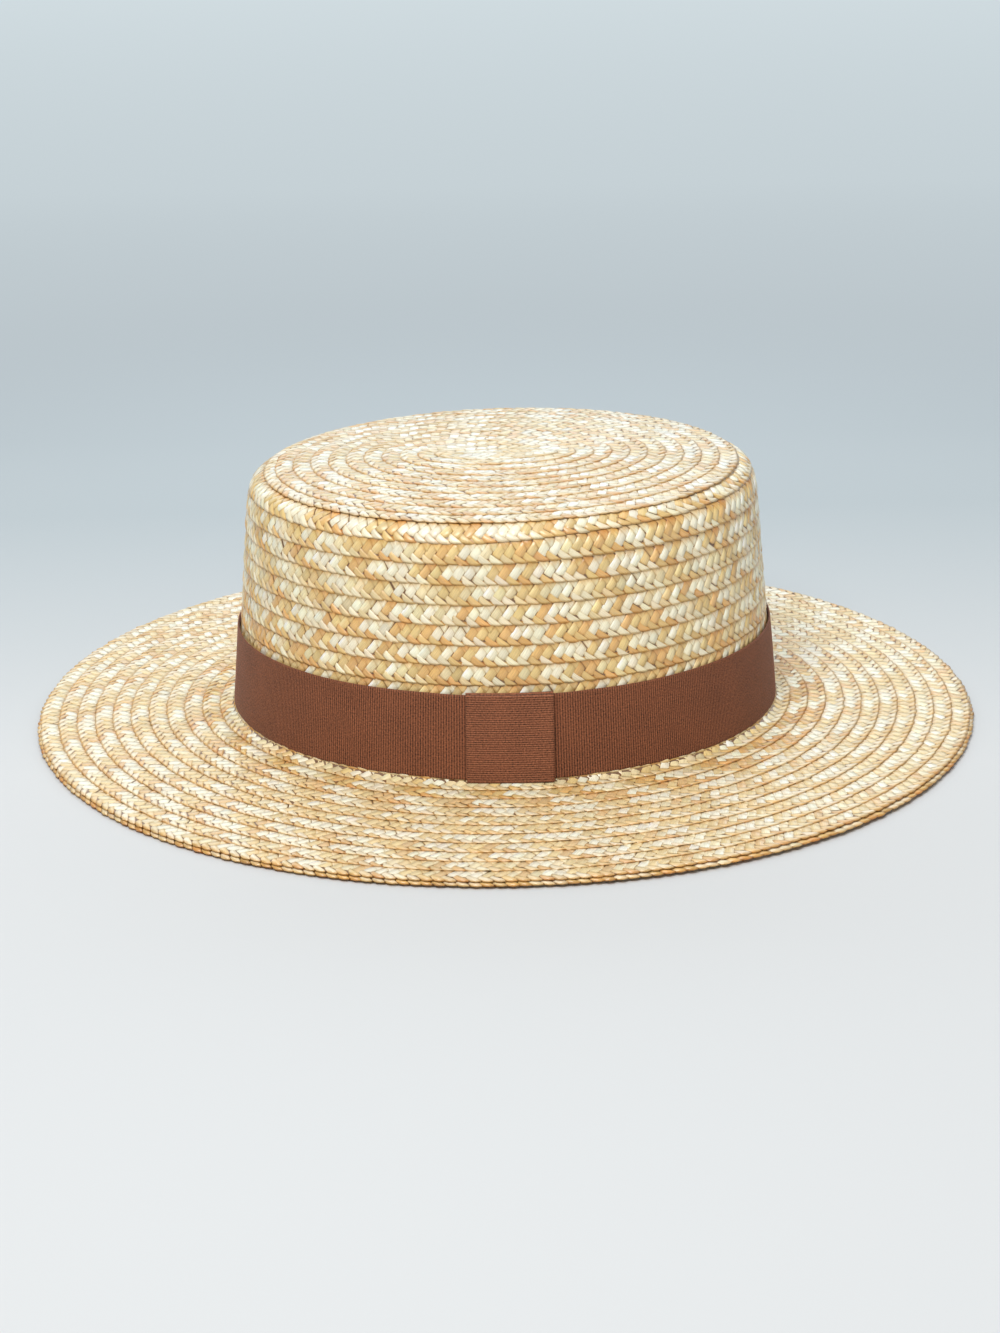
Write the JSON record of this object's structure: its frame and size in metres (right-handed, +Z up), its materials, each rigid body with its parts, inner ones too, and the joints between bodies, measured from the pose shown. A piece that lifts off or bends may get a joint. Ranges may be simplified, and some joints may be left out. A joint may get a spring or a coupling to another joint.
{
  "type": "straw boater hat",
  "caption": "Stiff oval straw boater with a flat-topped tapered crown, wide flat brim with a doubled rim, and a brown ribbed ribbon band held by a flat ribbon loop.",
  "frame": {"origin": "middle of the brim, on the plane that the rim rests on", "axes": "+Z up through the crown, +X along the long axis of the head oval, the flat ribbon loop is on the -Y side"},
  "size_m": [0.3426, 0.3186, 0.0963],
  "materials": {
    "straw": "natural wheat-straw braid, cream and golden splints with a satin gloss",
    "ribbon": "brown grosgrain ribbon, fine cross ribs, matt"
  },
  "bodies": {
    "root": {"crown": "straw", "brim": "straw", "brim_edge_braid": "straw", "ribbon_band": "ribbon", "ribbon_loop": "ribbon"}
  },
  "joints": []
}
